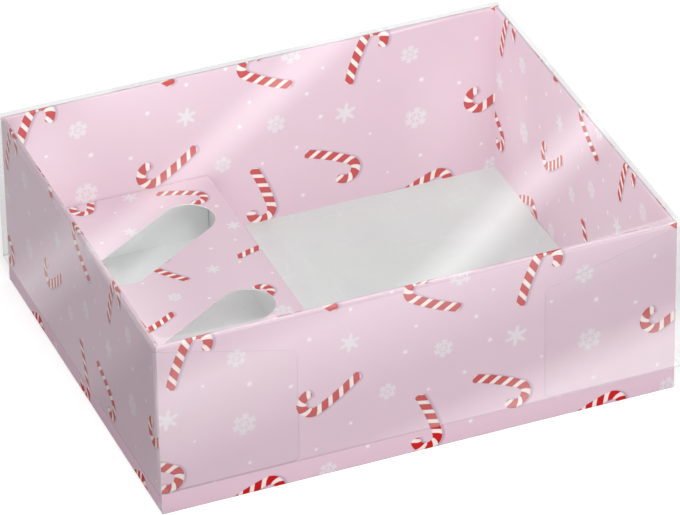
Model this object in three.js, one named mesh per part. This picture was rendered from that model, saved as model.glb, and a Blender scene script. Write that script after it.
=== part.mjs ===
// Shallow sweets box: a printed board tray with rolled double walls, a lid folded from clear film,
// and a slotted board insert that stands in the left part of the tray.
// Millimetres. +X runs along the front from left to right, +Y to the back and +Z up.
// The origin is the middle of the tray's underside.
import * as THREE from 'three';

// Sheets
const BOARD = 0.5; // printed board of the tray and the insert
const FILM = 0.3; // clear film of the lid

// Tray, outside sizes
const TRAY_WIDTH = 220;
const TRAY_DEPTH = 180;
const TRAY_HEIGHT = 80;
const GLUE_LINE = 0.1; // between a corner tab and the lining in front of it
const CORNER_TAB_LENGTH = 40;
const CORNER_TAB_TAPER = 6; // lost at the top and at the foot of a tab by its free end
const LUG_WIDTH = 14; // lugs that lock a lining into the floor
const LUG_INSET = 45; // from a lining's end to the middle of its lug
const LUG_CLEARANCE = 0.3;

// Lid
const LID_CLEARANCE = 1.5; // between the tray's walls and the lid's sides
const SEAT_GAP = 0.3; // between the rims and the lid's top
const LID_REVEAL = 11; // strip of the tray that the lid leaves bare
const LID_TAB_LENGTH = 57;
const LID_TAB_START = 1.5; // from the lid's top to a tab's upper edge at the corner
const LID_TAB_FALL = 15; // of that edge, from the corner to the free end
const LID_TAB_RADIUS = 3;
const LID_TAB_GAP = 0.2; // between a tab and the side that it lies behind

// Insert
const INSERT_WIDTH = 86.4;
const INSERT_RISE = 29.5; // from the tray's floor to the top of the deck
const INSERT_CLEARANCE = 0.4; // to the tray's linings
const FOOT_GAP = 0.3; // between the legs and the floor
const LEG_GAP = 0.3; // between the back leg and its neighbours
const SLOT_COUNT = 2;
const SLOT_WIDTH = 22.7;
const SLOT_ANGLE = 32.8; // degrees from the width, with the right end further back
const SLOT_LEFT_MARGIN = 17.9; // from the deck's left edge to the slots
const SLOT_RIGHT_MARGIN = 8.4;
const SLOT_BACK_MARGIN = 16.6; // from the deck's back edge to the first slot
const SLOT_PITCH = 67.8; // from one slot to the next, along the depth

// Sides of each round bend and corner
const ROUND_STEPS = 10;

// Sizes that follow from the ones above
const QUARTER = Math.PI / 2;
const WALL_GAP = BOARD + GLUE_LINE;
const WALL = 2 * BOARD + WALL_GAP;
const WALL_TOP = TRAY_HEIGHT - WALL / 2;
const LINING_START = BOARD + WALL_GAP; // from a wall's outside to its lining

const SIDES = [
  { name: 'front', turn: 0, length: TRAY_WIDTH, reach: TRAY_DEPTH / 2, long: true },
  { name: 'right', turn: QUARTER, length: TRAY_DEPTH, reach: TRAY_WIDTH / 2, long: false },
  { name: 'back', turn: 2 * QUARTER, length: TRAY_WIDTH, reach: TRAY_DEPTH / 2, long: true },
  { name: 'left', turn: -QUARTER, length: TRAY_DEPTH, reach: TRAY_WIDTH / 2, long: false },
];

// Finishes
const printedBoard = () =>
  new THREE.MeshStandardMaterial({ color: 0xe4c8d3, roughness: 0.5, metalness: 0 });
const plainBoard = () =>
  new THREE.MeshStandardMaterial({ color: 0xd9d7d6, roughness: 0.75, metalness: 0 });
const clearFilm = () =>
  new THREE.MeshStandardMaterial({
    color: 0xf4f5f7,
    roughness: 0.08,
    metalness: 0,
    transparent: true,
    opacity: 0.25,
  });

function polygon(points) {
  return new THREE.Shape(points.map(([u, v]) => new THREE.Vector2(u, v)));
}

function rectangle(left, low, right, high) {
  return polygon([[left, low], [right, low], [right, high], [left, high]]);
}

function sheet(name, outline, thickness, material) {
  const settings = { depth: thickness, bevelEnabled: false, curveSegments: ROUND_STEPS };
  const mesh = new THREE.Mesh(new THREE.ExtrudeGeometry(outline, settings), material);
  mesh.name = name;
  return mesh;
}

// A lying sheet, its outline in X and Y.
function lying(name, outline, thickness, low, material) {
  const mesh = sheet(name, outline, thickness, material);
  mesh.position.z = low;
  return mesh;
}

// A standing sheet that faces the front, its outline in X and Z, with its front face at y.
function facingFront(name, outline, thickness, y, material) {
  const mesh = sheet(name, outline, thickness, material);
  mesh.rotation.x = QUARTER;
  mesh.position.y = y + thickness;
  return mesh;
}

// A section in Y and Z drawn out along +X from x.
function alongWidth(name, section, length, x, material) {
  const mesh = sheet(name, section, length, material);
  mesh.rotation.set(QUARTER, 0, QUARTER, 'ZYX');
  mesh.position.x = x;
  return mesh;
}

// Middles of the two lugs of a lining, from the middle of the wall.
function lugPlaces(side) {
  const offset = liningLength(side) / 2 - LUG_INSET;
  return [-offset, offset];
}

// The linings of the long walls run from side wall to side wall, the others fit between them.
function liningLength(side) {
  return side.long ? side.length - 2 * BOARD : side.length - 2 * WALL;
}

// A lining stands on the floor, and its lugs go through to the underside.
function liningOutline(side) {
  const half = liningLength(side) / 2;
  const foot = lugPlaces(side).flatMap((middle) => [
    [middle - LUG_WIDTH / 2, BOARD],
    [middle - LUG_WIDTH / 2, 0],
    [middle + LUG_WIDTH / 2, 0],
    [middle + LUG_WIDTH / 2, BOARD],
  ]);
  return polygon([[-half, BOARD], ...foot, [half, BOARD], [half, WALL_TOP], [-half, WALL_TOP]]);
}

// Half a ring over the tops of an outer wall and its lining.
function rimSection() {
  const section = new THREE.Shape();
  section.absarc(0, 0, WALL / 2, 0, Math.PI, false);
  section.absarc(0, 0, WALL_GAP / 2, Math.PI, 0, true);
  return section;
}

// A corner tab grows out of the side wall at hand (-1 left, 1 right) and tapers to its free end.
function cornerTabOutline(side, hand) {
  const root = side.length / 2 - BOARD;
  const free = root - CORNER_TAB_LENGTH;
  const corners = [
    [hand * root, BOARD],
    [hand * root, WALL_TOP],
    [hand * free, WALL_TOP - CORNER_TAB_TAPER],
    [hand * free, BOARD + CORNER_TAB_TAPER],
  ];
  return polygon(hand < 0 ? corners.reverse() : corners);
}

// Which way along a wall, seen from outside, its neighbour of that name lies.
function neighbours(side) {
  return side.name === 'front' ? [['left', -1], ['right', 1]] : [['right', -1], ['left', 1]];
}

function trayWall(side) {
  const group = new THREE.Group();
  group.rotation.z = side.turn;
  const half = side.long ? side.length / 2 : side.length / 2 - BOARD;
  const outside = -side.reach;
  const rimLength = side.long ? side.length : side.length - 2 * WALL;
  const rim = alongWidth(`${side.name}_rim`, rimSection(), rimLength, -rimLength / 2, printedBoard());
  rim.position.y = outside + WALL / 2;
  rim.position.z = WALL_TOP;
  group.add(
    facingFront(`${side.name}_wall`, rectangle(-half, 0, half, WALL_TOP), BOARD, outside, printedBoard()),
    facingFront(`${side.name}_lining`, liningOutline(side), BOARD, outside + LINING_START, printedBoard()),
    rim,
  );
  if (side.long) {
    for (const [name, hand] of neighbours(side)) {
      const outline = cornerTabOutline(side, hand);
      const tab = `${side.name}_${name}_corner_tab`;
      group.add(facingFront(tab, outline, BOARD, outside + BOARD, plainBoard()));
    }
  }
  return group;
}

// One edge of the floor from left to right, seen from outside, with a notch round each lug.
function floorEdge(side) {
  const edge = BOARD - side.reach;
  const inner = LINING_START + BOARD + LUG_CLEARANCE - side.reach;
  const gap = LUG_WIDTH / 2 + LUG_CLEARANCE;
  const notches = lugPlaces(side).flatMap((middle) => [
    [middle - gap, edge],
    [middle - gap, inner],
    [middle + gap, inner],
    [middle + gap, edge],
  ]);
  const start = [BOARD - side.length / 2, edge];
  const centre = new THREE.Vector2();
  return [start, ...notches].map(([x, y]) => new THREE.Vector2(x, y).rotateAround(centre, side.turn));
}

function tray() {
  const group = new THREE.Group();
  const floor = new THREE.Shape(SIDES.flatMap(floorEdge));
  group.add(lying('tray_floor', floor, BOARD, 0, plainBoard()));
  group.add(...SIDES.map(trayWall));
  return group;
}

// A lid tab grows out of the film side at hand and lies behind the front or back side.
function lidTabOutline(root, hand, foot, top) {
  const free = root - LID_TAB_LENGTH;
  const high = top - LID_TAB_START;
  const low = high - LID_TAB_FALL;
  const slope = Math.atan2(LID_TAB_FALL, LID_TAB_LENGTH);
  const sharp = QUARTER - slope;
  const setback = LID_TAB_RADIUS / Math.tan((Math.PI - sharp) / 2);
  const radius = LID_TAB_RADIUS;
  const outline = new THREE.Shape();
  outline.moveTo(hand * root, foot);
  outline.lineTo(hand * root, high);
  outline.lineTo(hand * (free + setback * Math.cos(slope)), low + setback * Math.sin(slope));
  outline.quadraticCurveTo(hand * free, low, hand * free, low - setback);
  outline.lineTo(hand * free, foot + radius);
  outline.quadraticCurveTo(hand * free, foot, hand * (free + radius), foot);
  outline.closePath();
  return outline;
}

function lidSide(side) {
  const group = new THREE.Group();
  group.rotation.z = side.turn;
  const inside = LID_CLEARANCE + side.reach;
  const foot = LID_REVEAL;
  const top = TRAY_HEIGHT + SEAT_GAP;
  const corner = side.length / 2 + LID_CLEARANCE;
  const half = side.long ? corner + FILM : corner;
  const outline = rectangle(-half, foot, half, top);
  group.add(facingFront(`lid_${side.name}`, outline, FILM, -inside - FILM, clearFilm()));
  if (side.long) {
    for (const [name, hand] of neighbours(side)) {
      const tab = lidTabOutline(corner, hand, foot, top);
      const front = LID_TAB_GAP - inside;
      group.add(facingFront(`lid_${side.name}_${name}_tab`, tab, FILM, front, clearFilm()));
    }
  }
  return group;
}

function lid() {
  const group = new THREE.Group();
  const halfWidth = TRAY_WIDTH / 2 + LID_CLEARANCE + FILM;
  const halfDepth = TRAY_DEPTH / 2 + LID_CLEARANCE + FILM;
  const outline = rectangle(-halfWidth, -halfDepth, halfWidth, halfDepth);
  group.add(lying('lid_top', outline, FILM, TRAY_HEIGHT + SEAT_GAP, clearFilm()));
  group.add(...SIDES.map(lidSide));
  return group;
}

// A round-ended slot about a middle point.
function slot(x, y, halfSpan) {
  const angle = THREE.MathUtils.degToRad(SLOT_ANGLE);
  const dx = halfSpan * Math.cos(angle);
  const dy = halfSpan * Math.sin(angle);
  const path = new THREE.Path();
  path.absarc(x + dx, y + dy, SLOT_WIDTH / 2, angle - QUARTER, angle + QUARTER, false);
  path.absarc(x - dx, y - dy, SLOT_WIDTH / 2, angle + QUARTER, angle + 3 * QUARTER, false);
  path.closePath();
  return path;
}

// The deck's outline starts at its front left corner.
function deckOutline(depth) {
  const angle = THREE.MathUtils.degToRad(SLOT_ANGLE);
  const run = INSERT_WIDTH - SLOT_LEFT_MARGIN - SLOT_RIGHT_MARGIN - SLOT_WIDTH;
  const halfSpan = run / Math.cos(angle) / 2;
  const x = (INSERT_WIDTH + SLOT_LEFT_MARGIN - SLOT_RIGHT_MARGIN) / 2;
  const first = depth - SLOT_BACK_MARGIN - SLOT_WIDTH / 2 - halfSpan * Math.sin(angle);
  const outline = rectangle(0, 0, INSERT_WIDTH, depth);
  for (let i = 0; i < SLOT_COUNT; i += 1) {
    outline.holes.push(slot(x, first - i * SLOT_PITCH, halfSpan));
  }
  return outline;
}

// A leg from start to end under the deck. The slants are how much shorter its foot is at each end.
function legOutline(start, end, startSlant, endSlant) {
  const top = INSERT_RISE - BOARD;
  return polygon([[start + startSlant, FOOT_GAP], [end - endSlant, FOOT_GAP], [end, top], [start, top]]);
}

// The left leg and the back leg both fold in under the deck, so they are cut at half a right angle
// where they meet. The right leg folds out.
function insert() {
  const group = new THREE.Group();
  const depth = TRAY_DEPTH - 2 * (WALL + INSERT_CLEARANCE);
  group.position.set(WALL + INSERT_CLEARANCE - TRAY_WIDTH / 2, -depth / 2, BOARD);
  const clear = BOARD + LEG_GAP;
  const slant = INSERT_RISE - BOARD - FOOT_GAP;
  const leftLeg = legOutline(0, depth - clear, 0, slant);
  const rightLeg = legOutline(0, depth, 0, 0);
  const backLeg = legOutline(clear, INSERT_WIDTH - clear, slant, 0);
  group.add(
    lying('insert_deck', deckOutline(depth), BOARD, INSERT_RISE - BOARD, printedBoard()),
    alongWidth('insert_left_leg', leftLeg, BOARD, 0, printedBoard()),
    alongWidth('insert_right_leg', rightLeg, BOARD, INSERT_WIDTH - BOARD, printedBoard()),
    facingFront('insert_back_leg', backLeg, BOARD, depth - BOARD, printedBoard()),
  );
  return group;
}

const box = new THREE.Group();
box.add(tray(), lid(), insert());

export default box;
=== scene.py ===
# %% [markdown]
# # A cupcake box with a clear lid
#
# The box is three folded sheets: a printed board tray, a clear film lid and a board insert with slots.
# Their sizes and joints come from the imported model, so this lesson adds only the looks: the round folds,
# the white cut edges, the print, the grey reverse of the board and the film.

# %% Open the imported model
from math import cos, pi, radians, sin, sqrt, tau

import bmesh
import bpy
from mathutils import Matrix, Vector


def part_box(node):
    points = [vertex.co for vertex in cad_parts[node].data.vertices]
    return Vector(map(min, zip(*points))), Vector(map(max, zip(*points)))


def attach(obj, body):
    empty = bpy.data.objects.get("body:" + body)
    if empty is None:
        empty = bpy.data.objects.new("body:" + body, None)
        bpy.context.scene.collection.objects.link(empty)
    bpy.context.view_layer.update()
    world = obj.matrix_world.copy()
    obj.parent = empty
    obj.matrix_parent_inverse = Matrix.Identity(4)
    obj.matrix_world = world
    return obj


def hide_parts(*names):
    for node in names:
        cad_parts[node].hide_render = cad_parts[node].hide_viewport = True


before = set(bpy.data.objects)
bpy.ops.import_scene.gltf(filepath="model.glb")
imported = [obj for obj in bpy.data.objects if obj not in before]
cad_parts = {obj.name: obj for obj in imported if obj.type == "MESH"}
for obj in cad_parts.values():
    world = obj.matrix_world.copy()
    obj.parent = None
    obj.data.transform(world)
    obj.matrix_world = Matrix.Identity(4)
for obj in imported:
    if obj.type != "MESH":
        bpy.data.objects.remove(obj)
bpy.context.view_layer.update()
MM = 0.001

# %% [markdown]
# ## Camera
#
# The photograph looks down on the front left corner through a long lens, so that the box's edges stay
# nearly parallel. The angles, the distance and the lens were fitted to the corners of the tray. A camera
# can be aimed with a Track To constraint, but a matrix made from three directions also holds the small
# roll of the picture.

# %% Camera
CAMERA_TURN = radians(21.47)
CAMERA_TILT = radians(33.77)
CAMERA_ROLL = radians(1.05)
CAMERA_AIM = Vector((1.23, -1.9, 37.76)) * MM
CAMERA_DISTANCE = 2.424
CAMERA_LENS = 316.8

sight = Vector((
    cos(CAMERA_TILT) * sin(CAMERA_TURN),
    cos(CAMERA_TILT) * cos(CAMERA_TURN),
    -sin(CAMERA_TILT),
))
level_right = Vector((cos(CAMERA_TURN), -sin(CAMERA_TURN), 0))
level_up = level_right.cross(sight)
camera_right = level_right * cos(CAMERA_ROLL) - level_up * sin(CAMERA_ROLL)
camera_up = level_up * cos(CAMERA_ROLL) + level_right * sin(CAMERA_ROLL)
camera = bpy.data.objects.new("camera", bpy.data.cameras.new("camera"))
camera.data.lens = CAMERA_LENS
camera.matrix_world = Matrix((camera_right, camera_up, -sight)).transposed().to_4x4()
camera.location = CAMERA_AIM - sight * CAMERA_DISTANCE
bpy.context.collection.objects.link(camera)
bpy.context.scene.camera = camera
bpy.context.scene.view_settings.view_transform = "Standard"
print("camera stands at", [round(c, 3) for c in camera.location])

# %% [markdown]
# ## Sums for the print
#
# The print is drawn by the material itself, from a place in millimetres on the flat sheet to a colour. That
# takes many small sums, so a few helpers make the nodes. An image would be simpler, but it blurs close up
# and has to travel with the file.

# %% Helpers that make nodes
def plug(tree, socket, value):
    if isinstance(value, bpy.types.NodeSocket):
        tree.links.new(value, socket)
    else:
        socket.default_value = value


def new_node(tree, kind, values, **settings):
    """A node with its settings made and then its inputs filled, by name or by number."""
    node = tree.nodes.new("ShaderNode" + kind)
    for label, value in settings.items():
        setattr(node, label, value)
    for key, value in values.items():
        plug(tree, node.inputs[key], value)
    return node


def number(tree, operation, *values):
    return new_node(tree, "Math", dict(enumerate(values)), operation=operation).outputs["Value"]


def times(tree, first, second):
    return number(tree, "MULTIPLY", first, second)


def times_plus(tree, first, second, third):
    return number(tree, "MULTIPLY_ADD", first, second, third)


def minus(tree, first, second):
    return number(tree, "SUBTRACT", first, second)


def larger(tree, first, second):
    return number(tree, "MAXIMUM", first, second)


def arrow(tree, operation, *values):
    node = new_node(tree, "VectorMath", dict(enumerate(values)), operation=operation)
    return node.outputs["Value" if operation == "LENGTH" else "Vector"]


def length_of(tree, x, y):
    squares = times_plus(tree, x, x, times(tree, y, y))
    return number(tree, "SQRT", squares)


def soft_step(tree, value, start, end):
    """0 on the start side, 1 on the end side, smooth between."""
    values = {"Value": value, "From Min": start, "From Max": end}
    return new_node(tree, "MapRange", values, interpolation_type="SMOOTHSTEP").outputs["Result"]


def choose(tree, share, first, second, kind="FLOAT"):
    """first where share is 0, second where it is 1."""
    node = new_node(tree, "Mix", {}, data_type=kind)
    sockets = [s for s in node.inputs if s.enabled]
    for socket, value in zip(sockets, (share, first, second)):
        plug(tree, socket, value)
    return next(s for s in node.outputs if s.enabled)


def parts_of(tree, vector):
    return tuple(new_node(tree, "SeparateXYZ", {"Vector": vector}).outputs)


def new_group(name, inputs, outputs):
    tree = bpy.data.node_groups.new(name, "ShaderNodeTree")
    for way, sockets in (("INPUT", inputs), ("OUTPUT", outputs)):
        for label, kind in sockets:
            tree.interface.new_socket(label, in_out=way, socket_type="NodeSocket" + kind)
    start = tree.nodes.new("NodeGroupInput")
    end = tree.nodes.new("NodeGroupOutput")
    return tree, start.outputs, end.inputs


def use_group(tree, group, **values):
    return new_node(tree, "Group", values, node_tree=group).outputs


print("node helpers ready")

# %% [markdown]
# ## Candy cane
#
# A cane is a stem, a half-round hook and a short tail. For any place on the sheet the group works out how
# far along the cane it is and how far off its middle line, in millimetres. The first gives the slanted
# stripes and the second the edge. This way one small group draws every cane, sharp at any distance.

# %% One candy cane
CANE_STEM = 20.1
CANE_HOOK = 4.7
CANE_TAIL = 0.4
CANE_HALF = 2.1
CANE_BOW = 2.3
END_ROUND = 1.5
STRIPE_PITCH = 5.45
STRIPE_RED = 0.62
STRIPE_START = 0.2
STRIPE_SLANT = 0.52
INK_EDGE = 0.12


def cane_group():
    tree, start, end = new_group(
        "candy_cane", [("Offset", "Vector")], [("Distance", "Float"), ("Red", "Float"), ("Side", "Float")]
    )
    x, y, _ = parts_of(tree, start["Offset"])
    x = number(tree, "ADD", x, CANE_HOOK)
    y = number(tree, "ADD", y, (CANE_STEM + CANE_HOOK) / 2)
    from_top = minus(tree, CANE_STEM, y)
    below = number(tree, "DIVIDE", larger(tree, from_top, 0.0), CANE_STEM)
    bow = times(tree, number(tree, "POWER", below, 2.0), CANE_BOW)
    stem_off = minus(tree, x, bow)
    stem_past = larger(tree, times(tree, y, -1.0), 0.0)
    tail_off = minus(tree, 2 * CANE_HOOK, x)
    tail_past = larger(tree, minus(tree, from_top, CANE_TAIL), 0.0)
    tail_along = number(tree, "ADD", from_top, CANE_STEM + pi * CANE_HOOK)
    hook_x = minus(tree, x, CANE_HOOK)
    hook_y = times(tree, from_top, -1.0)
    hook_off = minus(tree, CANE_HOOK, length_of(tree, hook_x, hook_y))
    turned = minus(tree, pi, number(tree, "ARCTAN2", hook_y, hook_x))
    hook_along = times_plus(tree, turned, CANE_HOOK, CANE_STEM)
    in_hook = number(tree, "LESS_THAN", from_top, 0.0)
    in_tail = number(tree, "GREATER_THAN", x, CANE_HOOK)
    off = choose(tree, in_hook, choose(tree, in_tail, stem_off, tail_off), hook_off)
    past = choose(tree, in_hook, choose(tree, in_tail, stem_past, tail_past), 0.0)
    along = choose(tree, in_hook, choose(tree, in_tail, y, tail_along), hook_along)
    core = CANE_HALF - END_ROUND
    beside = larger(tree, minus(tree, number(tree, "ABSOLUTE", off), core), 0.0)
    plug(tree, end["Distance"], number(tree, "ADD", length_of(tree, beside, past), core))
    slanted = times_plus(tree, off, STRIPE_SLANT, along)
    wave = number(tree, "PINGPONG", minus(tree, slanted, STRIPE_START), STRIPE_PITCH / 2)
    red_half = STRIPE_PITCH / 2 * STRIPE_RED
    plug(tree, end["Red"], soft_step(tree, wave, red_half + INK_EDGE, red_half - INK_EDGE))
    plug(tree, end["Side"], number(tree, "DIVIDE", off, CANE_HALF))
    return tree


candy_cane = cane_group()
print("candy cane drawn with", len(candy_cane.nodes), "nodes")

# %% [markdown]
# ## Snowflakes
#
# A snowflake is one half arm, folded round six times and mirrored. Polar coordinates do the folding: the
# ping-pong of the angle brings every place into the same thin wedge. There are two flakes: a bold one with
# pointed arms round a solid middle, and a fine one with thin arms, twigs and a hexagon. Their numbers are
# shares of the flake's size. A tip and a middle have two: where the ink ends and where it is full.

# %% Two snowflakes
FLAKE_WEDGE = pi / 6
FLAKE_EDGE = 0.08
FLAKE_LEAN = radians(9)
BOLD_HALF = 0.2
BOLD_TAPER = 0.09
BOLD_TIP = (1.0, 0.8)
BOLD_MIDDLE = (0.5, 0.3)
FINE_HALF = 0.07
FINE_TIP = (1.0, 0.92)
RING_REACH = 0.54
RING_HALF = 0.10
TWIG_START = 0.66
TWIG_TURN = radians(55)
TWIG_HALF = 0.09
TWIG_TIP = (0.40, 0.28)


def flake_start(name):
    """A group with the place folded into one wedge: reach, place along the arm and place beside it."""
    tree, start, end = new_group(name, [("Offset", "Vector"), ("Size", "Float")], [("Cover", "Float")])
    x, y, _ = parts_of(tree, start["Offset"])
    x = number(tree, "DIVIDE", x, start["Size"])
    y = number(tree, "DIVIDE", y, start["Size"])
    reach = length_of(tree, x, y)
    heading = number(tree, "ADD", number(tree, "ARCTAN2", x, y), tau - FLAKE_LEAN)
    angle = number(tree, "PINGPONG", heading, FLAKE_WEDGE)
    along = times(tree, reach, number(tree, "COSINE", angle))
    beside = times(tree, reach, number(tree, "SINE", angle))
    return tree, end, reach, along, beside


def stroke(tree, off, half):
    outer = number(tree, "ADD", half, FLAKE_EDGE)
    inner = minus(tree, half, FLAKE_EDGE)
    return soft_step(tree, off, outer, inner)


def along_line(tree, x, y, angle):
    """How far a place is along a line through the origin that leans by an angle."""
    return times_plus(tree, x, cos(angle), times(tree, y, sin(angle)))


def bold_flake_group():
    tree, end, reach, along, beside = flake_start("bold_flake")
    half = times_plus(tree, along, -BOLD_TAPER, BOLD_HALF)
    arm = times(tree, stroke(tree, beside, half), soft_step(tree, along, *BOLD_TIP))
    middle = soft_step(tree, reach, *BOLD_MIDDLE)
    plug(tree, end["Cover"], larger(tree, arm, middle))
    return tree


def fine_flake_group():
    tree, end, _, along, beside = flake_start("fine_flake")
    arm = times(tree, stroke(tree, beside, FINE_HALF), soft_step(tree, along, *FINE_TIP))
    from_ring = minus(tree, along_line(tree, along, beside, FLAKE_WEDGE), RING_REACH)
    ring = stroke(tree, number(tree, "ABSOLUTE", from_ring), RING_HALF)
    ahead = minus(tree, along, TWIG_START)
    off = along_line(tree, ahead, beside, TWIG_TURN - pi / 2)
    run = along_line(tree, ahead, beside, TWIG_TURN)
    twig = stroke(tree, number(tree, "ABSOLUTE", off), TWIG_HALF)
    twig = times(tree, twig, soft_step(tree, run, *TWIG_TIP))
    plug(tree, end["Cover"], larger(tree, larger(tree, arm, ring), twig))
    return tree


bold_flake = bold_flake_group()
fine_flake = fine_flake_group()
print("snowflakes drawn with", len(bold_flake.nodes), "and", len(fine_flake.nodes), "nodes")

# %% [markdown]
# ## Layout of the print
#
# A printer repeats one tile over the sheet. Each motif has a place on the tile in millimetres, and then a
# turn in degrees for a cane or a size for a flake or a dot. A shader has no loop over a list, so this loop
# lays out the nodes: each motif in turn is kept if it is nearer than the best one so far, and only the
# winner is drawn.

# %% Tiles of the wall print and the deck print
WALL_TILE = {
    "size": (147.4, 104.0),
    "scale": 1.0,
    "canes": [
        (13.1, 69.7, -27), (68.1, 89.9, 36), (116.1, 73.4, 58), (70.6, 39.8, 118),
        (110.2, 13.3, 194), (143.5, 20.2, 241), (37.6, -3.2, -72),
    ],
    "bold": [(3.3, 44.4, 5.3), (80.0, 60.2, 4.8)],
    "fine": [
        (32.7, 65.8, 4.4), (35.1, 33.9, 5.4), (95.5, 32.8, 4.0), (119.5, 46.8, 4.4), (69.9, 1.9, 4.0),
        (127.1, 79.2, 5.0),
    ],
    "dots": [
        (18.5, 56.5, 0.9), (37.8, 52.3, 1.4), (55.0, 46.4, 1.2), (63.1, 66.3, 1.2), (80.6, 75.8, 1.1),
        (103.3, 49.6, 1.2), (14.3, 31.4, 0.8), (37.1, 14.8, 1.1), (65.0, 13.3, 1.0), (86.9, 8.6, 1.1),
        (79.8, 21.9, 1.1), (22.0, 10.0, 0.7), (108.0, 60.5, 1.0), (133.6, 58.2, 1.2), (141.0, 69.0, 0.9),
        (128.5, 33.0, 1.1), (113.0, 29.0, 0.9), (131.0, 8.5, 1.1), (139.5, 45.5, 1.2), (98.0, 79.0, 1.0),
    ],
}
DECK_TILE = {
    "size": (104.0, 176.0),
    "scale": 0.77,
    "canes": [
        (72.0, 166.5, 242), (33.3, 180.0, 158), (48.7, 118.3, 30), (88.0, 115.5, -82),
        (28.3, 85.8, 112), (72.3, 85.4, -58), (60.0, 30.0, 150), (22.0, 45.0, 80),
    ],
    "bold": [
        (52.3, 174.9, 4.0), (84.2, 138.4, 3.4), (64.9, 111.4, 3.4), (43.7, 150.6, 3.6), (40.0, 20.0, 4.0),
    ],
    "fine": [(43.5, 98.7, 3.0), (80.2, 72.2, 4.2), (76.0, 12.0, 4.0), (30.0, 62.0, 3.4)],
    "dots": [
        (83.0, 154.5, 1.1), (30.0, 147.5, 0.9), (69.5, 126.0, 1.0), (81.0, 128.0, 0.8), (76.8, 112.2, 0.9),
        (56.0, 92.5, 1.0), (42.8, 166.5, 0.8), (62.0, 163.0, 0.9), (35.0, 113.0, 0.8), (86.0, 99.5, 0.8),
        (24.5, 106.5, 0.9), (50.0, 60.0, 0.9), (30.0, 25.0, 0.9),
    ],
}


def nearest_motif(tree, place, tile, motifs):
    """Offset to the nearest motif of a list, and the third number of that motif."""
    half = (tile[0] / 2, tile[1] / 2, 1.0)
    best, third, least = None, None, None
    for x, y, value in motifs:
        offset = arrow(tree, "WRAP", arrow(tree, "SUBTRACT", place, (x, y, 0.0)), half, [-h for h in half])
        far = arrow(tree, "LENGTH", offset)
        if best is None:
            best, third, least = offset, value, far
            continue
        nearer = number(tree, "LESS_THAN", far, least)
        best = choose(tree, nearer, best, offset, "VECTOR")
        third = choose(tree, nearer, third, value)
        least = number(tree, "MINIMUM", far, least)
    return best, third


print("wall tile", WALL_TILE["size"], "mm with", len(WALL_TILE["canes"]), "canes")

# %% [markdown]
# ## Inks
#
# The sheet is printed pale pink, then dotted with snow, flakes and canes. Each cane has a soft lilac shadow,
# which is the same cane drawn a millimetre to the right with a wide edge, and darkens towards its own sides,
# so that it looks round. The colours are written as they look in plain light.

# %% The print as a node group
PINK_INK = (0.712, 0.500, 0.595, 1)
DOT_INK = (0.93, 0.90, 0.92, 1)
DOT_STRENGTH = 0.7
DOT_SPREAD = 1.25
SNOW_INK = (0.76, 0.745, 0.76, 1)
FLAKE_STRENGTH = 0.68
SHADOW_INK = (0.48, 0.30, 0.42, 1)
SHADOW_STRENGTH = 0.8
SHADOW_SOFT = 0.7
CANE_SHADOW = (1.0, -0.1, 0.0)
RED_INK = (0.53, 0.003, 0.005, 1)
CREAM_INK = (0.89, 0.76, 0.74, 1)
CANE_ROUND = (0.55, 1.15)
CANE_DARK = 0.22


def turned_back(tree, vector, degrees):
    values = {"Vector": vector, "Angle": times(tree, degrees, -pi / 180)}
    return new_node(tree, "VectorRotate", values, rotation_type="Z_AXIS").outputs["Vector"]


def painted(tree, colour, ink, cover, strength):
    return choose(tree, times(tree, cover, strength), colour, ink, "RGBA")


def lessened(tree, value, loss):
    """1 where value is 0, and 1 - loss where it is 1."""
    return times_plus(tree, value, -loss, 1.0)


def scaled(tree, colour, factor):
    values = {"Vector": colour, "Scale": factor}
    return new_node(tree, "VectorMath", values, operation="SCALE").outputs["Vector"]


def print_group(name, layout):
    tree, start, end = new_group(name, [("Place", "Vector")], [("Color", "Color")])
    place, tile, scale = start["Place"], layout["size"], layout["scale"]
    offset, size = nearest_motif(tree, place, tile, layout["dots"])
    spread = times(tree, size, DOT_SPREAD)
    dots = soft_step(tree, arrow(tree, "LENGTH", offset), spread, 0.0)
    colour = painted(tree, PINK_INK, DOT_INK, dots, DOT_STRENGTH)
    for kind, group in (("bold", bold_flake), ("fine", fine_flake)):
        offset, size = nearest_motif(tree, place, tile, layout[kind])
        flake = use_group(tree, group, Offset=offset, Size=size)["Cover"]
        colour = painted(tree, colour, SNOW_INK, flake, FLAKE_STRENGTH)
    offset, turn = nearest_motif(tree, place, tile, layout["canes"])
    offset = arrow(tree, "MULTIPLY", offset, (1 / scale, 1 / scale, 1.0))
    shifted = turned_back(tree, arrow(tree, "SUBTRACT", offset, CANE_SHADOW), turn)
    shadow = use_group(tree, candy_cane, Offset=shifted)["Distance"]
    shadow = soft_step(tree, shadow, CANE_HALF + SHADOW_SOFT, CANE_HALF - SHADOW_SOFT / 2)
    colour = painted(tree, colour, SHADOW_INK, shadow, SHADOW_STRENGTH)
    cane = use_group(tree, candy_cane, Offset=turned_back(tree, offset, turn))
    sweet = choose(tree, cane["Red"], CREAM_INK, RED_INK, "RGBA")
    rounding = soft_step(tree, number(tree, "ABSOLUTE", cane["Side"]), *CANE_ROUND)
    sweet = scaled(tree, sweet, lessened(tree, rounding, CANE_DARK))
    cover = soft_step(tree, cane["Distance"], CANE_HALF + INK_EDGE, CANE_HALF - INK_EDGE)
    plug(tree, end["Color"], choose(tree, cover, colour, sweet, "RGBA"))
    return tree


wall_print = print_group("wall_print", WALL_TILE)
deck_print = print_group("deck_print", DECK_TILE)
print("print groups have", len(wall_print.nodes), "and", len(deck_print.nodes), "nodes")

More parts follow.
